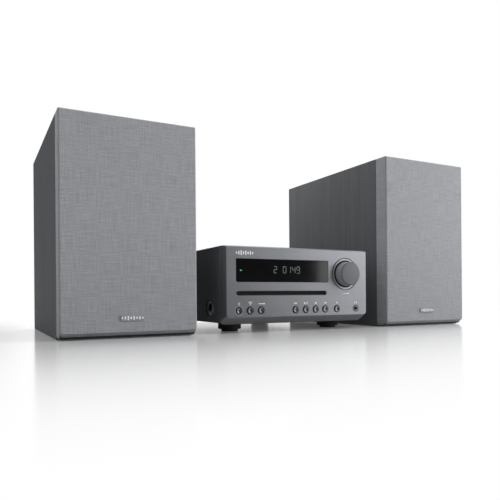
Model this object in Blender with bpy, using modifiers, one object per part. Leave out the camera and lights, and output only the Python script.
"""Mini hifi system: a slot-loading disc receiver standing between two bookshelf speakers.

Metres, +Z up. X runs from the left speaker to the right one and Y runs back into the depth, so the
fronts face -Y. The origin is on the shelf, under the middle of the whole system's box.
"""

import math

import bmesh
import bpy
from mathutils import Matrix, Vector

MM = 0.001
GAP = 0.3 * MM  # clearance left between pieces that touch

# Driving dimensions
SPEAKER_WIDTH = 146 * MM
SPEAKER_HEIGHT = 232 * MM
SPEAKER_DEPTH = 250 * MM
RECEIVER_WIDTH = 207 * MM
RECEIVER_HEIGHT = 103.1 * MM
RECEIVER_DEPTH = 278 * MM
UNIT_SPACING = 34 * MM
KNOB_REACH = 12.5 * MM  # knob face in front of the front panel
TERMINAL_REACH = 14 * MM  # binding posts behind the receiver

# Everything is placed by its depth behind the common front plane
FRONT_Y = -(RECEIVER_DEPTH + TERMINAL_REACH - KNOB_REACH) / 2
PANEL_LEFT = -RECEIVER_WIDTH / 2
SPEAKER_CENTRE = RECEIVER_WIDTH / 2 + UNIT_SPACING + SPEAKER_WIDTH / 2

# Speaker: grille, cabinet and baffle
GRILLE_DEPTH = 20 * MM
GRILLE_ROUND = 2 * MM
GRILLE_BEVEL = 7 * MM
CLOTH = 0.8 * MM
GRILLE_BAR = 16 * MM
GRILLE_FRAME_BACK = 16 * MM
GRILLE_CROSSBAR_Z = (140.5 * MM, 146.5 * MM)
PIN_X = 57 * MM
PIN_Z = (14.5 * MM, 217.5 * MM)
PIN_RADIUS = 3 * MM
PIN_LENGTH = 6.7 * MM
BADGE_SIZE = (25.5 * MM, 6.6 * MM)
BADGE_Z = 21.5 * MM
CABINET_FRONT = GRILLE_DEPTH + GAP
CABINET_WALL = 10 * MM
CABINET_BACK_WALL = 12 * MM
BAFFLE_THICKNESS = 15 * MM

# Speaker: drivers, with depths counted from the back of their mounting flanges
FLANGE = 3 * MM
WOOFER_Z = 80 * MM
WOOFER_FLANGE_RADIUS = 60 * MM
WOOFER_CUTOUT_RADIUS = 52 * MM
WOOFER_BASKET_DEPTH = 44 * MM
CONE_RADIUS = 45.5 * MM
COIL_RADIUS = 13.3 * MM
COIL_DEPTH = 54 * MM
SURROUND_RADIUS = 50.1 * MM
SURROUND_ROLL = 4 * MM
SURROUND_THICKNESS = 0.9 * MM
MAGNET_RADIUS = 35 * MM
YOKE_RADIUS = 30 * MM
TWEETER_Z = 181 * MM
TWEETER_FLANGE_RADIUS = 33 * MM
TWEETER_CUTOUT_RADIUS = 22 * MM
TWEETER_DEPTH = 26 * MM
DOME_RADIUS = 15 * MM

# Speaker: rear fittings and crossover
PORT_Z = 176 * MM
PORT_RADIUS = 20 * MM
PORT_FRONT = 90 * MM
TERMINAL_Z = 62 * MM
TERMINAL_CUP = 50 * MM
CUP_DEPTH = 20 * MM
POST_FROM_CENTRE = 11 * MM
CROSSOVER_HALF_WIDTH = 30 * MM
CROSSOVER_DEPTH = (130 * MM, 175 * MM)

# Receiver casing
PANEL_BOTTOM = 10 * MM
PANEL_DEPTH = 16.2 * MM
PANEL_BOTTOM_ROUND = 10 * MM
PANEL_SIDE_ROUND = 3.5 * MM
PANEL_TOP_ROUND = 1.5 * MM
PANEL_WALL = 3 * MM
PANEL_SIDE = 2.5 * MM
COVER_BOTTOM = 11.8 * MM
COVER_SHEET = 1.2 * MM
COVER_FOLD = 2 * MM
SCREW_DISH_RADIUS = 11.2 * MM
SCREW_DISH_DEPTHS = (45 * MM, 236 * MM)
SCREW_DISH_Z = 29 * MM
CHASSIS_SHEET = 1.2 * MM
CHASSIS_HEIGHT = 14 * MM
REAR_PANEL_FRONT = RECEIVER_DEPTH - 1.8 * MM
FOOT_RADIUS = 14.4 * MM
FOOT_PAD_RADIUS = 10.6 * MM
FOOT_FROM_SIDE = 29 * MM
FOOT_FRONT_DEPTH = 50 * MM
FOOT_REAR_DEPTH = 246 * MM

# Front panel controls: distances from the panel's left edge, heights above the shelf
DISPLAY_X = (14.4 * MM, 144.4 * MM)
DISPLAY_Z = (59.9 * MM, 87.2 * MM)
SLOT_X = (14.6 * MM, 141.4 * MM)
SLOT_Z = (44.2 * MM, 49.2 * MM)
BUTTON_Z = 26.4 * MM
BUTTON_RADIUS = 4.2 * MM
BUTTON_BACK = 7 * MM
BUTTON_GAP = 0.35 * MM
BUTTONS = {
    "power_button": 18.0 * MM,
    "wireless_button": 32.6 * MM,
    "source_button": 47.2 * MM,
    "skip_back_button": 95.3 * MM,
    "play_pause_button": 110.2 * MM,
    "stop_button": 125.0 * MM,
    "skip_forward_button": 139.4 * MM,
    "eject_button": 157.5 * MM,
}
JACK_X = 187.8 * MM
JACK_RADIUS = 4.2 * MM
KNOB_X = 171.1 * MM
KNOB_Z = 70.9 * MM
KNOB_RADIUS = 15.5 * MM
KNOB_WELL_RADIUS = 17.4 * MM
KNOB_WELL_DEPTH = 2 * MM
SHAFT_RADIUS = 3 * MM
SHAFT_BACK = 4.7 * MM
BUSHING_RADIUS = 5 * MM
ENCODER_HALF = 6 * MM
BOARD = 1.6 * MM
CONTROL_BOARD_DEPTH = 11.4 * MM
CONTROL_BOARD_X = (-99 * MM, 99 * MM)
CONTROL_BOARD_Z = (15 * MM, 41 * MM)
CONTROL_COLUMN_X = (44.5 * MM, 96 * MM)
CONTROL_COLUMN_Z = (40 * MM, 92 * MM)
SWITCH_HALF = 3 * MM

# Disc drive
DRIVE_X = PANEL_LEFT + (SLOT_X[0] + SLOT_X[1]) / 2
DRIVE_HALF_WIDTH = 70 * MM
DRIVE_FRONT = 17 * MM
DRIVE_BACK = 160 * MM
DRIVE_Z = (27 * MM, 55 * MM)
DRIVE_WALL = 2 * MM
DECK_Z = (41.2 * MM, 43.2 * MM)
DISC_CENTRE_DEPTH = 82 * MM
TURNTABLE_RADIUS = 14 * MM
SLED_REST_RADIUS = 24 * MM
SLED_HALF = 11 * MM
SLED_HALF_WIDTH = 12.5 * MM
ROLLER_DEPTH = 27 * MM
ROLLER_Z = 40 * MM
ROLLER_RADIUS = 3.4 * MM
ROLLER_HALF = 60 * MM
AXLE_RADIUS = 1.5 * MM
AXLE_HALF = 69.4 * MM

# Electronics, on boards that stand over the chassis pan
LOW_BOARD_Z = (17 * MM, 17 * MM + BOARD)
MAIN_BOARD_X = (-100 * MM, 44 * MM)
MAIN_BOARD_DEPTH = (22 * MM, 268 * MM)
MAIN_CAPACITOR_TOP = 44 * MM
MAIN_CAPACITORS = (  # x, depth and radius in millimetres
    (-2, 185, 8),
    (20, 185, 8),
    (-2, 210, 8),
    (24, 212, 6),
    (24, 232, 6),
)
HEAT_SINK_X = (-92 * MM, -24 * MM)
HEAT_SINK_DEPTH = (172 * MM, 228 * MM)
HEAT_SINK_Z = (19 * MM, 66 * MM)
FIN_FOOT_Z = 24 * MM
FIN_COUNT = 7
FIN_THICKNESS = 2.4 * MM
SUPPLY_X = (50 * MM, 100 * MM)
SUPPLY_DEPTH = (26 * MM, 250 * MM)
SUPPLY_BLOCKS = (  # name, x range, depth range and top in millimetres
    ("transformer", (58, 92), (90, 130), 50),
    ("mains_filter", (60, 90), (200, 228), 40),
)

# Rear of the receiver, places as (x, height) and sizes as (width, height)
SOCKETS_AT = (-62 * MM, 42 * MM)
SOCKETS_SIZE = (64 * MM, 26 * MM)
SOCKET_PITCH = (16 * MM, 13 * MM)
SOCKET_RADIUS = 4.1 * MM
SOCKET_BORE = 1.7 * MM
TERMINALS_AT = (-30 * MM, 76 * MM)
TERMINALS_SIZE = (92 * MM, 22 * MM)
POST_PITCH = 23 * MM
POST_RADIUS = 6 * MM
INLET_AT = (76 * MM, 46 * MM)
INLET_SIZE = (26 * MM, 18 * MM)
INLET_MOUTH = (17.5 * MM, 8.8 * MM)
REAR_BLOCK_DEPTH = 14 * MM
VENT_COUNT = 6
VENT_SIZE = (3 * MM, 20 * MM)
VENT_PITCH = 6.5 * MM
VENT_AT = (24 * MM, 82 * MM)

PARTS = None
CUTTERS = None


# ---------------------------------------------------------------- scene and materials


def start_scene():
    """Empty the scene and make the collection for the parts and the one for their cutters."""
    global PARTS, CUTTERS
    for old in list(bpy.data.objects):
        bpy.data.objects.remove(old, do_unlink=True)
    PARTS = bpy.data.collections.new("mini_hifi_system")
    CUTTERS = bpy.data.collections.new("cutters")
    bpy.context.scene.collection.children.link(PARTS)
    bpy.context.scene.collection.children.link(CUTTERS)


def make_material(name, colour, roughness, metallic=0.0):
    made = bpy.data.materials.new(name)
    made.use_nodes = True
    shader = made.node_tree.nodes["Principled BSDF"]
    shader.inputs["Base Color"].default_value = (*colour, 1.0)
    shader.inputs["Roughness"].default_value = roughness
    shader.inputs["Metallic"].default_value = metallic
    return made


def make_materials():
    return {
        "vinyl": make_material("graphite_vinyl", (0.10, 0.10, 0.11), 0.55),
        "cloth": make_material("grey_cloth", (0.29, 0.29, 0.31), 0.95),
        "fibreboard": make_material("fibreboard", (0.30, 0.22, 0.15), 0.8),
        "panel": make_material("satin_graphite", (0.24, 0.24, 0.26), 0.4, 0.5),
        "steel": make_material("black_steel", (0.03, 0.03, 0.035), 0.45, 0.3),
        "zinc": make_material("zinc_steel", (0.55, 0.55, 0.55), 0.4, 0.9),
        "aluminium": make_material("aluminium", (0.60, 0.60, 0.62), 0.35, 0.9),
        "black": make_material("black_plastic", (0.02, 0.02, 0.022), 0.5),
        "window": make_material("smoked_window", (0.01, 0.01, 0.012), 0.08),
        "rubber": make_material("rubber", (0.015, 0.015, 0.015), 0.8),
        "paper": make_material("cone_paper", (0.03, 0.03, 0.032), 0.8),
        "board": make_material("circuit_board", (0.03, 0.12, 0.05), 0.5),
        "ferrite": make_material("ferrite", (0.08, 0.08, 0.085), 0.6),
    }


# ---------------------------------------------------------------- shape helpers


def add_object(name, mesh, material):
    thing = bpy.data.objects.new(name, mesh)
    PARTS.objects.link(thing)
    if material is not None:
        mesh.materials.append(material)
    return thing


def as_cutter(thing):
    """Move a helper shape into the cutters' collection, where it isn't a part."""
    for owner in list(thing.users_collection):
        owner.objects.unlink(thing)
    CUTTERS.objects.link(thing)
    thing.hide_render = True
    thing.display_type = "WIRE"
    return thing


def boolean(thing, tool, operation):
    as_cutter(tool)
    step = thing.modifiers.new(f"{operation.lower()}_{tool.name}"[:60], "BOOLEAN")
    step.object = tool
    step.operation = operation
    step.solver = "EXACT"
    return thing


def cut(thing, *tools):
    for tool in tools:
        boolean(thing, tool, "DIFFERENCE")
    return thing


def join(thing, *tools):
    for tool in tools:
        boolean(thing, tool, "UNION")
    return thing


def box(name, x, depth, z, material=None, rounds=()):
    """A block between two x values, two depths and two heights.

    Each entry of rounds is (test, width, segments): the edges whose middle passes the test, given
    the middle as a fraction of the block's size from its centre, are rounded or bevelled.
    """
    low = Vector((x[0], FRONT_Y + depth[0], z[0]))
    high = Vector((x[1], FRONT_Y + depth[1], z[1]))
    centre = (low + high) / 2
    size = high - low
    shape = bmesh.new()
    placed = Matrix.Translation(centre) @ Matrix.Diagonal((*size, 1))
    bmesh.ops.create_cube(shape, size=1, matrix=placed)
    chosen = {}
    for number, (test, _, _) in enumerate(rounds):
        for edge in shape.edges:
            middle = (edge.verts[0].co + edge.verts[1].co) / 2 - centre
            if test(*(middle[axis] / size[axis] for axis in range(3))):
                chosen.setdefault(number, []).append(edge)
    for number, (_, width, segments) in enumerate(rounds):
        alive = [edge for edge in chosen[number] if edge.is_valid]
        bmesh.ops.bevel(shape, geom=alive, offset=width, segments=segments, profile=0.5, affect="EDGES")
    mesh = bpy.data.meshes.new(name)
    shape.to_mesh(mesh)
    shape.free()
    return add_object(name, mesh, material)


def prism(name, outline, depth, material=None, centre=(0.0, 0.0)):
    """A flat outline in X and Z, pushed back from one depth to another."""
    shape = bmesh.new()
    corners = [shape.verts.new((centre[0] + x, FRONT_Y + depth[0], centre[1] + z)) for x, z in outline]
    face = shape.faces.new(corners)
    pushed = bmesh.ops.extrude_face_region(shape, geom=[face])["geom"]
    moved = [item for item in pushed if isinstance(item, bmesh.types.BMVert)]
    bmesh.ops.translate(shape, verts=moved, vec=(0, depth[1] - depth[0], 0))
    bmesh.ops.recalc_face_normals(shape, faces=shape.faces)
    mesh = bpy.data.meshes.new(name)
    shape.to_mesh(mesh)
    shape.free()
    return add_object(name, mesh, material)


def rounded_rectangle(width, height, radius, steps=3):
    """Outline points of a rectangle with round corners, centred on the origin."""
    points = []
    for corner in range(4):
        across = (width / 2 - radius) * (1 if corner in (0, 3) else -1)
        up = (height / 2 - radius) * (1 if corner in (0, 1) else -1)
        for step in range(steps + 1):
            angle = math.radians(90 * (corner + step / steps))
            points.append((across + radius * math.cos(angle), up + radius * math.sin(angle)))
    return points


def arc(centre, radius, start, end, steps):
    """Points on an arc of a turned profile, both ends included, angles in degrees."""
    points = []
    for step in range(steps + 1):
        angle = math.radians(start + (end - start) * step / steps)
        points.append((centre[0] + radius * math.cos(angle), centre[1] + radius * math.sin(angle)))
    return points


def turned(name, profile, material=None, steps=32, closed=False, facing_front=None, standing=None):
    """A turned piece from a profile of (radius, height) points that runs down its outer side.

    facing_front=(x, z) lays its axis along Y with the profile's height pointing to the front, so a
    height is minus a depth. standing=(x, depth) keeps its axis upright.
    """
    mesh = bpy.data.meshes.new(name)
    points = [(radius, 0.0, height) for radius, height in profile]
    links = [(at, at + 1) for at in range(len(points) - 1)]
    if closed:
        links.append((len(points) - 1, 0))
    mesh.from_pydata(points, links, [])
    thing = add_object(name, mesh, material)
    screw = thing.modifiers.new("turn", "SCREW")
    screw.axis = "Z"
    screw.steps = steps
    screw.render_steps = steps
    screw.use_smooth_shade = True
    screw.use_merge_vertices = True
    screw.merge_threshold = 0.00005
    if facing_front is not None:
        thing.location = (facing_front[0], FRONT_Y, facing_front[1])
        thing.rotation_euler = (math.radians(90), 0, 0)
    if standing is not None:
        thing.location = (standing[0], FRONT_Y + standing[1], 0)
    return thing


def rod(name, radius, depth, at, steps=20):
    """A plain round rod along Y between two depths, at=(x, z)."""
    profile = [(0, -depth[0]), (radius, -depth[0]), (radius, -depth[1]), (0, -depth[1])]
    return turned(name, profile, steps=steps, facing_front=at)


def post(name, radius, z, at, steps=20):
    """A plain upright post between two heights, at=(x, depth)."""
    profile = [(0, z[1]), (radius, z[1]), (radius, z[0]), (0, z[0])]
    return turned(name, profile, steps=steps, standing=at)


def front_upright(x, y, z):
    return y < -0.4 and abs(x) > 0.4


def front_top(x, y, z):
    return y < -0.4 and z > 0.4


def front_bottom(x, y, z):
    return y < -0.4 and z < -0.4


# ---------------------------------------------------------------- speaker


def grille_block(name, centre, inset, back, material=None):
    """The grille's outer form, drawn in all round by inset: round edges and a bevelled foot."""
    half = SPEAKER_WIDTH / 2 - inset
    rounds = (
        (front_bottom, GRILLE_BEVEL - inset * 0.6, 1),
        (lambda x, y, z: front_upright(x, y, z) or front_top(x, y, z), GRILLE_ROUND - inset, 3),
    )
    height = (inset, SPEAKER_HEIGHT - inset)
    return box(name, (centre - half, centre + half), (inset, back), height, material, rounds)


def make_grille(side, centre, finish):
    cloth = grille_block(f"{side}_grille_cloth", centre, 0.0, GRILLE_DEPTH, finish["cloth"])
    cut(cloth, grille_block(f"{side}_cloth_hollow", centre, CLOTH, GRILLE_DEPTH + 5 * MM))

    frame = grille_block(f"{side}_grille_frame", centre, CLOTH + GAP, GRILLE_FRAME_BACK, finish["black"])
    inner_half = SPEAKER_WIDTH / 2 - GRILLE_BAR
    low_window = (GRILLE_BAR, GRILLE_CROSSBAR_Z[0])
    high_window = (GRILLE_CROSSBAR_Z[1], SPEAKER_HEIGHT - GRILLE_BAR)
    for label, (bottom, top) in (("low", low_window), ("high", high_window)):
        outline = rounded_rectangle(2 * inner_half, top - bottom, 6 * MM)
        middle = (centre, (bottom + top) / 2)
        cut(frame, prism(f"{side}_{label}_window", outline, (-5 * MM, 25 * MM), centre=middle))
    pin_depth = (GRILLE_FRAME_BACK - 1 * MM, CABINET_FRONT + PIN_LENGTH)
    for number, at in enumerate(grille_pins(centre)):
        join(frame, rod(f"{side}_pin_{number}", PIN_RADIUS, pin_depth, at, 10))

    badge_outline = rounded_rectangle(*BADGE_SIZE, 1.2 * MM)
    prism(f"{side}_badge", badge_outline, (-1.5 * MM, -GAP), finish["aluminium"], (centre, BADGE_Z))


def grille_pins(centre):
    return [(centre + hand * PIN_X, height) for hand in (-1, 1) for height in PIN_Z]


def make_cabinet(side, centre, finish):
    half = SPEAKER_WIDTH / 2
    front, back = CABINET_FRONT, SPEAKER_DEPTH
    outer_x = (centre - half, centre + half)
    cabinet = box(f"{side}_cabinet", outer_x, (front, back), (0, SPEAKER_HEIGHT), finish["vinyl"])
    inner_half = half - CABINET_WALL
    inner_x = (centre - inner_half, centre + inner_half)
    inner_z = (CABINET_WALL, SPEAKER_HEIGHT - CABINET_WALL)
    hollow = box(f"{side}_cabinet_hollow", inner_x, (0, back - CABINET_BACK_WALL), inner_z)
    through_back = (back - 30 * MM, back + 30 * MM)
    port_hole = rod(f"{side}_port_hole", PORT_RADIUS + GAP, through_back, (centre, PORT_Z))
    cup = rounded_rectangle(TERMINAL_CUP + 2 * GAP, TERMINAL_CUP + 2 * GAP, 4 * MM, 2)
    cup_hole = prism(f"{side}_cup_hole", cup, through_back, centre=(centre, TERMINAL_Z))
    cut(cabinet, hollow, port_hole, cup_hole)

    baffle_half = inner_half - GAP
    baffle_back = front + BAFFLE_THICKNESS
    baffle = box(
        f"{side}_baffle",
        (centre - baffle_half, centre + baffle_half),
        (front, baffle_back),
        (inner_z[0] + GAP, inner_z[1] - GAP),
        finish["fibreboard"],
    )
    through = (front - 5 * MM, baffle_back + 5 * MM)
    cut(
        baffle,
        rod(f"{side}_woofer_hole", WOOFER_CUTOUT_RADIUS + GAP, through, (centre, WOOFER_Z), 24),
        rod(f"{side}_tweeter_hole", TWEETER_CUTOUT_RADIUS + GAP, through, (centre, TWEETER_Z), 18),
    )
    socket_depth = (front - 5 * MM, front + PIN_LENGTH + 1 * MM)
    for number, at in enumerate(grille_pins(centre)):
        cut(baffle, rod(f"{side}_pin_socket_{number}", PIN_RADIUS + GAP, socket_depth, at, 10))


def make_woofer(side, centre, finish):
    """Basket, magnet, cone and surround, all turned about the woofer's axis."""
    axis = (centre, WOOFER_Z)
    face = -(CABINET_FRONT - GAP)  # back of the mounting flange, as a height towards the front
    front = face + FLANGE
    back = face - WOOFER_BASKET_DEPTH
    basket = [
        (54.5 * MM, front),
        (WOOFER_FLANGE_RADIUS - 1 * MM, front),
        (WOOFER_FLANGE_RADIUS, front - 1 * MM),
        (WOOFER_FLANGE_RADIUS, face),
        (WOOFER_CUTOUT_RADIUS, face),
        (WOOFER_CUTOUT_RADIUS, face - 14 * MM),
        (YOKE_RADIUS, back + 2 * MM),
        (YOKE_RADIUS, back),
        (16 * MM, back),
        (16 * MM, back + 2 * MM),
        (28.5 * MM, back + 3 * MM),
        (50 * MM, face - 13 * MM),
        (50 * MM, front - 1.2 * MM),
        (54.5 * MM, front - 1.2 * MM),
    ]
    turned(f"{side}_woofer_frame", basket, finish["black"], 24, closed=True, facing_front=axis)

    top_plate = back - GAP
    magnet = [
        (0, top_plate + 6 * MM),
        (11.5 * MM, top_plate + 6 * MM),
        (11.5 * MM, top_plate - 16 * MM),
        (14 * MM, top_plate - 16 * MM),
        (14 * MM, top_plate),
        (YOKE_RADIUS, top_plate),
        (YOKE_RADIUS, top_plate - 4 * MM),
        (MAGNET_RADIUS, top_plate - 4 * MM),
        (MAGNET_RADIUS, top_plate - 17 * MM),
        (28 * MM, top_plate - 17 * MM),
        (28 * MM, top_plate - 21 * MM),
        (0, top_plate - 21 * MM),
    ]
    turned(f"{side}_woofer_magnet", magnet, finish["ferrite"], 18, facing_front=axis)

    cone = [
        (0, face - 12 * MM),
        (9 * MM, face - 13.6 * MM),
        (15.5 * MM, face - 18 * MM),
        (30 * MM, face - 8 * MM),
        (CONE_RADIUS, face + 0.5 * MM),
        (CONE_RADIUS, face - 0.8 * MM),
        (30 * MM, face - 9.4 * MM),
        (COIL_RADIUS, face - 20.5 * MM),
        (COIL_RADIUS, face - COIL_DEPTH),
        (COIL_RADIUS - 1.1 * MM, face - COIL_DEPTH),
        (COIL_RADIUS - 1.1 * MM, face - 18 * MM),
        (9 * MM, face - 14.8 * MM),
        (0, face - 13.2 * MM),
    ]
    turned(f"{side}_woofer_cone", cone, finish["paper"], 24, facing_front=axis)

    middle = (SURROUND_RADIUS, front - 1 * MM)
    surround = arc(middle, SURROUND_ROLL, 180, 0, 4)
    surround += arc(middle, SURROUND_ROLL - SURROUND_THICKNESS, 0, 180, 4)
    turned(f"{side}_woofer_surround", surround, finish["rubber"], 24, closed=True, facing_front=axis)


def make_tweeter(side, centre, finish):
    axis = (centre, TWEETER_Z)
    face = -(CABINET_FRONT - GAP)
    front = face + FLANGE
    plate = [
        (0, face - 4 * MM),
        (14 * MM, face - 4 * MM),
        (14 * MM, face),
        (23 * MM, front - 0.4 * MM),
        (TWEETER_FLANGE_RADIUS - 1 * MM, front),
        (TWEETER_FLANGE_RADIUS, front - 1 * MM),
        (TWEETER_FLANGE_RADIUS, face),
        (TWEETER_CUTOUT_RADIUS, face),
        (TWEETER_CUTOUT_RADIUS, face - TWEETER_DEPTH),
        (0, face - TWEETER_DEPTH),
    ]
    turned(f"{side}_tweeter_plate", plate, finish["black"], 18, facing_front=axis)
    rim = face - 4 * MM + GAP
    crown = (0, rim - 8 * MM)
    dome = arc(crown, DOME_RADIUS, 90, 40, 3)
    dome += [(13.6 * MM, rim + 1.6 * MM), (13.6 * MM, rim), (11 * MM, rim)]
    dome += arc(crown, DOME_RADIUS - 0.8 * MM, 40, 90, 3)[1:]
    turned(f"{side}_tweeter_dome", dome, finish["cloth"], 18, facing_front=axis)


def make_speaker_back(side, centre, finish):
    """Reflex port, terminal cup with its two posts, and the crossover board inside."""
    back = SPEAKER_DEPTH
    lip = PORT_RADIUS + 5 * MM
    port = [
        (PORT_RADIUS - 2 * MM, PORT_FRONT - back),
        (PORT_RADIUS, PORT_FRONT - back),
        (PORT_RADIUS, -back - GAP),
        (lip, -back - GAP),
        (lip, -back - GAP - 2 * MM),
        (PORT_RADIUS + 1 * MM, -back - GAP - 2 * MM),
        (PORT_RADIUS - 2 * MM, -back + 3 * MM),
    ]
    turned(f"{side}_port_tube", port, finish["black"], 20, closed=True, facing_front=(centre, PORT_Z))

    at = (centre, TERMINAL_Z)
    flange = rounded_rectangle(TERMINAL_CUP + 12 * MM, TERMINAL_CUP + 12 * MM, 5 * MM)
    plate = prism(f"{side}_terminal_plate", flange, (back + GAP, back + GAP + 2 * MM), finish["black"], at)
    outside = rounded_rectangle(TERMINAL_CUP, TERMINAL_CUP, 4 * MM, 2)
    inside = rounded_rectangle(TERMINAL_CUP - 4 * MM, TERMINAL_CUP - 4 * MM, 3 * MM, 2)
    join(plate, prism(f"{side}_cup", outside, (back - CUP_DEPTH, back + 1 * MM), centre=at))
    hollow_depth = (back - CUP_DEPTH + 2 * MM, back + 10 * MM)
    cut(plate, prism(f"{side}_cup_inside", inside, hollow_depth, centre=at))
    post_depth = (back - CUP_DEPTH + 1 * MM, back - 1 * MM)
    for number, hand in enumerate((-1, 1)):
        place = (centre + hand * POST_FROM_CENTRE, TERMINAL_Z)
        join(plate, rod(f"{side}_post_{number}", 5 * MM, post_depth, place, 14))

    floor = CABINET_WALL + GAP
    board_x = (centre - CROSSOVER_HALF_WIDTH, centre + CROSSOVER_HALF_WIDTH)
    board_z = (floor, floor + BOARD)
    crossover = box(f"{side}_crossover", board_x, CROSSOVER_DEPTH, board_z, finish["board"])
    coil = post(f"{side}_coil", 10 * MM, (floor + 1 * MM, floor + 16 * MM), (centre - 15 * MM, 150 * MM), 16)
    lying = (centre + 14 * MM, board_z[1] + 6 * MM)
    capacitor = rod(f"{side}_capacitor", 7 * MM, (138 * MM, 168 * MM), lying, 14)
    join(crossover, coil, capacitor)


def make_speaker(side, centre, finish):
    make_grille(side, centre, finish)
    make_cabinet(side, centre, finish)
    make_woofer(side, centre, finish)
    make_tweeter(side, centre, finish)
    make_speaker_back(side, centre, finish)


# ---------------------------------------------------------------- receiver casing


def panel_block(name, inset, front, back, material=None):
    """The front panel's outer form, drawn in by inset at the sides, top and bottom."""
    half = RECEIVER_WIDTH / 2 - inset
    rounds = [
        (front_bottom, PANEL_BOTTOM_ROUND - inset, 5),
        (front_upright, PANEL_SIDE_ROUND - inset, 3),
    ]
    z = (PANEL_BOTTOM + inset, RECEIVER_HEIGHT - inset)
    if inset == 0:
        rounds.insert(0, (front_top, PANEL_TOP_ROUND, 2))
    return box(name, (-half, half), (front, back), z, material, rounds)


def make_front_panel(finish):
    panel = panel_block("front_panel", 0.0, 0.0, PANEL_DEPTH, finish["panel"])
    cut(panel, panel_block("panel_hollow", PANEL_SIDE, PANEL_WALL, PANEL_DEPTH + 10 * MM))
    through = (-5 * MM, PANEL_WALL + 3 * MM)
    window_centre = (PANEL_LEFT + sum(DISPLAY_X) / 2, sum(DISPLAY_Z) / 2)
    width, height = DISPLAY_X[1] - DISPLAY_X[0], DISPLAY_Z[1] - DISPLAY_Z[0]
    opening = rounded_rectangle(width, height, 1.5 * MM)
    cut(panel, prism("window_opening", opening, through, centre=window_centre))
    glass = rounded_rectangle(width - 2 * GAP, height - 2 * GAP, 1.2 * MM)
    prism("display_window", glass, (0.2 * MM, 2.2 * MM), finish["window"], window_centre)

    slot_centre = (DRIVE_X, sum(SLOT_Z) / 2)
    slot = rounded_rectangle(SLOT_X[1] - SLOT_X[0], SLOT_Z[1] - SLOT_Z[0], 2.4 * MM)
    cut(panel, prism("disc_slot", slot, through, centre=slot_centre))

    knob_at = (PANEL_LEFT + KNOB_X, KNOB_Z)
    cut(panel, rod("knob_well", KNOB_WELL_RADIUS, (-5 * MM, KNOB_WELL_DEPTH), knob_at, 28))
    cut(panel, rod("bushing_hole", BUSHING_RADIUS, through, knob_at, 12))
    for name, across in BUTTONS.items():
        at = (PANEL_LEFT + across, BUTTON_Z)
        cut(panel, rod(f"{name}_hole", BUTTON_RADIUS + BUTTON_GAP, through, at, 14))
    cut(panel, rod("jack_hole", JACK_RADIUS + GAP, through, (PANEL_LEFT + JACK_X, BUTTON_Z), 14))


def make_casing(finish):
    half = RECEIVER_WIDTH / 2
    cover_front = PANEL_DEPTH + GAP
    top_round = (lambda x, y, z: abs(x) > 0.4 and z > 0.4, COVER_FOLD, 3)
    cover = box(
        "top_cover",
        (-half, half),
        (cover_front, RECEIVER_DEPTH),
        (COVER_BOTTOM, RECEIVER_HEIGHT),
        finish["steel"],
        [top_round],
    )
    inner = half - COVER_SHEET
    inner_round = (top_round[0], top_round[1] - COVER_SHEET, 3)
    hollow_depth = (0, RECEIVER_DEPTH + 5 * MM)
    hollow_z = (0, RECEIVER_HEIGHT - COVER_SHEET)
    cut(cover, box("cover_hollow", (-inner, inner), hollow_depth, hollow_z, rounds=[inner_round]))
    dish_profile = [
        (0, 5 * MM),
        (SCREW_DISH_RADIUS, 5 * MM),
        (SCREW_DISH_RADIUS, 0),
        (SCREW_DISH_RADIUS - 1.2 * MM, -0.7 * MM),
        (0, -0.7 * MM),
    ]
    for hand in (-1, 1):
        for number, depth in enumerate(SCREW_DISH_DEPTHS):
            dish = turned(f"screw_dish_{hand}_{number}", dish_profile, steps=14)
            dish.rotation_euler = (0, math.radians(90 * hand), 0)
            dish.location = (hand * half, FRONT_Y + depth, SCREW_DISH_Z)
            cut(cover, dish)

    pan_half = inner - GAP
    pan_depth = (cover_front, REAR_PANEL_FRONT - GAP)
    pan_z = (COVER_BOTTOM, COVER_BOTTOM + CHASSIS_HEIGHT)
    pan = box("chassis", (-pan_half, pan_half), pan_depth, pan_z, finish["zinc"])
    pan_inner = pan_half - CHASSIS_SHEET
    pan_hollow = (pan_depth[0] + CHASSIS_SHEET, pan_depth[1] - CHASSIS_SHEET)
    cut(pan, box("chassis_hollow", (-pan_inner, pan_inner), pan_hollow, (pan_z[0] + CHASSIS_SHEET, 60 * MM)))

    foot = [
        (0, COVER_BOTTOM - GAP),
        (FOOT_RADIUS, COVER_BOTTOM - GAP),
        (FOOT_RADIUS, 3.4 * MM),
        (FOOT_RADIUS - 0.6 * MM, 2.8 * MM),
        (FOOT_PAD_RADIUS, 2.8 * MM),
        (FOOT_PAD_RADIUS, 0),
        (0, 0),
    ]
    reach = half - FOOT_FROM_SIDE
    for row, depth in (("front", FOOT_FRONT_DEPTH), ("rear", FOOT_REAR_DEPTH)):
        for side, hand in (("left", -1), ("right", 1)):
            turned(f"{row}_{side}_foot", foot, finish["rubber"], 20, standing=(hand * reach, depth))


# ---------------------------------------------------------------- receiver controls


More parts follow.
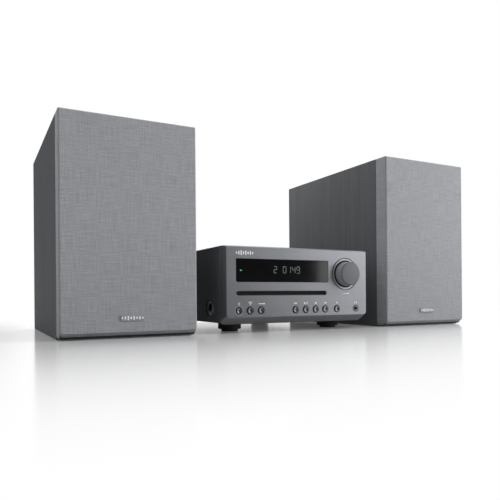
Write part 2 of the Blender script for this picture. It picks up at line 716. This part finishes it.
def make_controls(finish):
    button = [(0, 1 * MM), (2.2 * MM, 0.85 * MM), (3.6 * MM, 0.4 * MM), (BUTTON_RADIUS, -0.2 * MM)]
    button += [(BUTTON_RADIUS, -BUTTON_BACK), (0, -BUTTON_BACK)]
    for name, across in BUTTONS.items():
        turned(name, button, finish["panel"], 14, facing_front=(PANEL_LEFT + across, BUTTON_Z))

    edge = 2.5 * MM
    rear_face = -KNOB_WELL_DEPTH + 0.6 * MM
    knob = [(0, KNOB_REACH)]
    knob += arc((KNOB_RADIUS - 1 * MM - edge, KNOB_REACH - edge), edge, 90, 0, 3)
    knob += [(KNOB_RADIUS, 0), (KNOB_RADIUS, rear_face), (SHAFT_RADIUS, rear_face)]
    knob += [(SHAFT_RADIUS, -SHAFT_BACK), (0, -SHAFT_BACK)]
    knob_at = (PANEL_LEFT + KNOB_X, KNOB_Z)
    turned("volume_knob", knob, finish["panel"], 32, facing_front=knob_at)

    bore = SHAFT_RADIUS + GAP
    bushing = [(bore, -2.2 * MM), (4.6 * MM, -2.2 * MM), (4.6 * MM, -6 * MM), (bore, -6 * MM)]
    body_x = (knob_at[0] - ENCODER_HALF, knob_at[0] + ENCODER_HALF)
    body_z = (KNOB_Z - ENCODER_HALF, KNOB_Z + ENCODER_HALF)
    encoder = box("volume_encoder", body_x, (5 * MM, CONTROL_BOARD_DEPTH - GAP), body_z, finish["zinc"])
    join(encoder, turned("encoder_bushing", bushing, steps=12, closed=True, facing_front=knob_at))

    socket_end, jack_end = -8.5 * MM, -9.5 * MM
    barrel = [(0, socket_end), (1.8 * MM, socket_end), (1.8 * MM, -0.2 * MM), (2.2 * MM, 0.2 * MM)]
    barrel += [(JACK_RADIUS - 0.4 * MM, 0.2 * MM), (JACK_RADIUS, -0.2 * MM)]
    barrel += [(JACK_RADIUS, jack_end), (0, jack_end)]
    turned("headphone_jack", barrel, finish["black"], 14, facing_front=(PANEL_LEFT + JACK_X, BUTTON_Z))

    board_depth = (CONTROL_BOARD_DEPTH, CONTROL_BOARD_DEPTH + BOARD)
    board = box("control_board", CONTROL_BOARD_X, board_depth, CONTROL_BOARD_Z, finish["board"])
    join(board, box("board_column", CONTROL_COLUMN_X, board_depth, CONTROL_COLUMN_Z))
    switch_depth = (BUTTON_BACK + 1.6 * MM, CONTROL_BOARD_DEPTH + 0.5 * MM)
    switch_z = (BUTTON_Z - SWITCH_HALF, BUTTON_Z + SWITCH_HALF)
    for name, across in BUTTONS.items():
        middle = PANEL_LEFT + across
        switch_x = (middle - SWITCH_HALF, middle + SWITCH_HALF)
        join(board, box(f"{name}_switch", switch_x, switch_depth, switch_z))

    middle_x, middle_z = PANEL_LEFT + sum(DISPLAY_X) / 2, sum(DISPLAY_Z) / 2
    tube = box(
        "display_module",
        (middle_x - 60 * MM, middle_x + 60 * MM),
        (3.4 * MM, 9 * MM),
        (middle_z - 12 * MM, middle_z + 12 * MM),
        finish["window"],
    )
    carrier = box(
        "display_carrier",
        (middle_x - 64 * MM, middle_x + 64 * MM),
        (8.5 * MM, 10.6 * MM),
        (middle_z - 15 * MM, middle_z + 15 * MM),
    )
    join(tube, carrier)


# ---------------------------------------------------------------- disc drive


def make_disc_drive(finish):
    left, right = DRIVE_X - DRIVE_HALF_WIDTH, DRIVE_X + DRIVE_HALF_WIDTH
    frame = box("disc_drive_frame", (left, right), (DRIVE_FRONT, DRIVE_BACK), DRIVE_Z, finish["zinc"])
    inside_x = (left + DRIVE_WALL, right - DRIVE_WALL)
    inside_back = DRIVE_BACK - DRIVE_WALL
    centre = (DRIVE_X, DISC_CENTRE_DEPTH)
    disc_path = box("disc_path", inside_x, (0, inside_back), (DECK_Z[1], DRIVE_Z[1] - DRIVE_WALL))
    motor_bay = box("motor_bay", inside_x, (0, inside_back), (DRIVE_Z[0] + DRIVE_WALL, DECK_Z[0]))
    roller_bay = box("roller_bay", inside_x, (0, 33 * MM), (DECK_Z[0] - 1 * MM, DECK_Z[1] + 1 * MM))
    turntable_hole = post("turntable_hole", 15.5 * MM, (DECK_Z[0] - 1 * MM, DECK_Z[1] + 1 * MM), centre, 18)
    laser_window = box(
        "laser_window",
        (DRIVE_X - 8 * MM, DRIVE_X + 8 * MM),
        (DISC_CENTRE_DEPTH + 10 * MM, DISC_CENTRE_DEPTH + 66 * MM),
        (DECK_Z[0] - 1 * MM, DECK_Z[1] + 1 * MM),
    )
    bearing = AXLE_RADIUS + GAP
    axle_line = [(0, 80 * MM), (bearing, 80 * MM), (bearing, -80 * MM), (0, -80 * MM)]
    axle_holes = turned("axle_holes", axle_line, steps=12)
    lay_across(axle_holes)
    cut(frame, disc_path, motor_bay, roller_bay, turntable_hole, laser_window, axle_holes)
    motor = post("spindle_motor", 9 * MM, (DRIVE_Z[0] + 1 * MM, 36 * MM), centre, 20)
    join(frame, motor)
    for hand in (-1, 1):
        near, far = sorted((DRIVE_X + hand * 13.5 * MM, DRIVE_X + hand * 16 * MM))
        rail_depth = (DISC_CENTRE_DEPTH + 10 * MM, inside_back + 1 * MM)
        join(frame, box(f"sled_rail_{hand}", (near, far), rail_depth, (DRIVE_Z[0] + 1 * MM, 33 * MM)))

    hub, spindle = 7.4 * MM, 2 * MM
    turntable = [(0, 43.6 * MM), (hub - 1 * MM, 43.6 * MM), (hub, 43 * MM), (hub, 42.6 * MM)]
    turntable += [(TURNTABLE_RADIUS, 42.6 * MM), (TURNTABLE_RADIUS, 41.2 * MM)]
    turntable += [(spindle, 41.2 * MM), (spindle, 36.3 * MM), (0, 36.3 * MM)]
    turned("disc_turntable", turntable, finish["black"], 18, standing=centre)

    lens_depth = DISC_CENTRE_DEPTH + SLED_REST_RADIUS
    sled = box(
        "laser_sled",
        (DRIVE_X - SLED_HALF_WIDTH, DRIVE_X + SLED_HALF_WIDTH),
        (lens_depth - SLED_HALF, lens_depth + SLED_HALF),
        (30 * MM, 40 * MM),
        finish["black"],
    )
    join(sled, post("laser_lens", 3.5 * MM, (39 * MM, 42.6 * MM), (DRIVE_X, lens_depth), 16))

    half = [(0, AXLE_HALF), (AXLE_RADIUS, AXLE_HALF)]
    half += [(AXLE_RADIUS, ROLLER_HALF), (ROLLER_RADIUS, ROLLER_HALF)]
    roller = half + [(radius, -height) for radius, height in reversed(half)]
    lay_across(turned("feed_roller", roller, finish["rubber"], 16))


def lay_across(thing):
    """Lay a piece that was turned about the upright axis along X, in the feed roller's place."""
    thing.rotation_euler = (0, math.radians(90), 0)
    thing.location = (DRIVE_X, FRONT_Y + ROLLER_DEPTH, ROLLER_Z)


# ---------------------------------------------------------------- receiver electronics


def make_electronics(finish):
    main = box("main_board", MAIN_BOARD_X, MAIN_BOARD_DEPTH, LOW_BOARD_Z, finish["board"])
    mounted = LOW_BOARD_Z[1] - 0.5 * MM
    for number, (across, depth, radius) in enumerate(MAIN_CAPACITORS):
        at = (across * MM, depth * MM)
        join(main, post(f"main_capacitor_{number}", radius * MM, (mounted, MAIN_CAPACITOR_TOP), at, 10))

    fins = box("heat_sink", HEAT_SINK_X, HEAT_SINK_DEPTH, HEAT_SINK_Z, finish["aluminium"])
    pitch = (HEAT_SINK_X[1] - HEAT_SINK_X[0] - FIN_THICKNESS) / (FIN_COUNT - 1)
    gap_depth = (HEAT_SINK_DEPTH[0] - 10 * MM, HEAT_SINK_DEPTH[1] + 10 * MM)
    gap_z = (FIN_FOOT_Z, HEAT_SINK_Z[1] + 10 * MM)
    for number in range(FIN_COUNT - 1):
        low = HEAT_SINK_X[0] + FIN_THICKNESS + number * pitch
        cut(fins, box(f"fin_gap_{number}", (low, low + pitch - FIN_THICKNESS), gap_depth, gap_z))

    supply = box("power_supply", SUPPLY_X, SUPPLY_DEPTH, LOW_BOARD_Z, finish["board"])
    for name, across, depth, top in SUPPLY_BLOCKS:
        block_x = [value * MM for value in across]
        block_depth = [value * MM for value in depth]
        join(supply, box(name, block_x, block_depth, (mounted, top * MM)))
    winding = box("winding", (63 * MM, 87 * MM), (82 * MM, 138 * MM), (24 * MM, 44 * MM))
    reservoir = post("reservoir", 12 * MM, (mounted, 52 * MM), (75 * MM, 165 * MM))
    join(supply, winding, reservoir)


def make_rear(finish):
    """Rear panel with its vents, and the sockets, terminals and mains inlet that show through it."""
    panel_back = REAR_PANEL_FRONT + 1.2 * MM
    half = RECEIVER_WIDTH / 2 - COVER_SHEET - GAP
    height = (COVER_BOTTOM, RECEIVER_HEIGHT - COVER_SHEET - GAP)
    panel = box("rear_panel", (-half, half), (REAR_PANEL_FRONT, panel_back), height, finish["steel"])
    through = (REAR_PANEL_FRONT - 5 * MM, panel_back + 5 * MM)
    inner = REAR_PANEL_FRONT - REAR_BLOCK_DEPTH
    rear = RECEIVER_DEPTH + TERMINAL_REACH

    fittings = {}
    for name, at, (width, tall) in (
        ("rear_sockets", SOCKETS_AT, SOCKETS_SIZE),
        ("speaker_terminals", TERMINALS_AT, TERMINALS_SIZE),
        ("mains_inlet", INLET_AT, INLET_SIZE),
    ):
        block = rounded_rectangle(width, tall, 2 * MM, 2)
        fittings[name] = prism(name, block, (inner, panel_back + 1.5 * MM), finish["black"], at)
        hole = rounded_rectangle(width + 2 * GAP, tall + 2 * GAP, 2 * MM, 2)
        cut(panel, prism(f"{name}_cutout", hole, through, centre=at))
    vent = rounded_rectangle(*VENT_SIZE, 1.4 * MM, 2)
    for number in range(VENT_COUNT):
        at = (VENT_AT[0] + number * VENT_PITCH, VENT_AT[1])
        cut(panel, prism(f"vent_{number}", vent, through, centre=at))

    front_end, rear_end = -panel_back + 3 * MM, -rear + 4 * MM
    barrel = [(SOCKET_BORE, front_end), (SOCKET_RADIUS, front_end)]
    barrel += [(SOCKET_RADIUS, rear_end), (SOCKET_BORE, rear_end)]
    for column in range(3):
        for row in (-0.5, 0.5):
            across = (column - 1.25) * SOCKET_PITCH[0]
            at = (SOCKETS_AT[0] + across, SOCKETS_AT[1] + row * SOCKET_PITCH[1])
            name = f"phono_{column}_{'low' if row < 0 else 'high'}"
            join(fittings["rear_sockets"], turned(name, barrel, steps=10, closed=True, facing_front=at))

    for number in range(4):
        at = (TERMINALS_AT[0] + (number - 1.5) * POST_PITCH, TERMINALS_AT[1])
        binding_post = rod(f"binding_post_{number}", POST_RADIUS, (panel_back, rear), at, 12)
        join(fittings["speaker_terminals"], binding_post)

    mouth = rounded_rectangle(*INLET_MOUTH, 4 * MM, 4)
    mouth_depth = (inner + 3 * MM, panel_back + 10 * MM)
    cut(fittings["mains_inlet"], prism("inlet_mouth", mouth, mouth_depth, centre=INLET_AT))
    pin_depth = (inner + 2 * MM, panel_back - 4 * MM)
    for hand in (-1, 1):
        at = (INLET_AT[0] + hand * 4.3 * MM, INLET_AT[1])
        join(fittings["mains_inlet"], rod(f"inlet_pin_{hand}", 1.2 * MM, pin_depth, at, 10))


# ---------------------------------------------------------------- whole system


def main():
    start_scene()
    finish = make_materials()
    make_speaker("left", -SPEAKER_CENTRE, finish)
    make_speaker("right", SPEAKER_CENTRE, finish)
    make_front_panel(finish)
    make_casing(finish)
    make_controls(finish)
    make_disc_drive(finish)
    make_electronics(finish)
    make_rear(finish)


main()
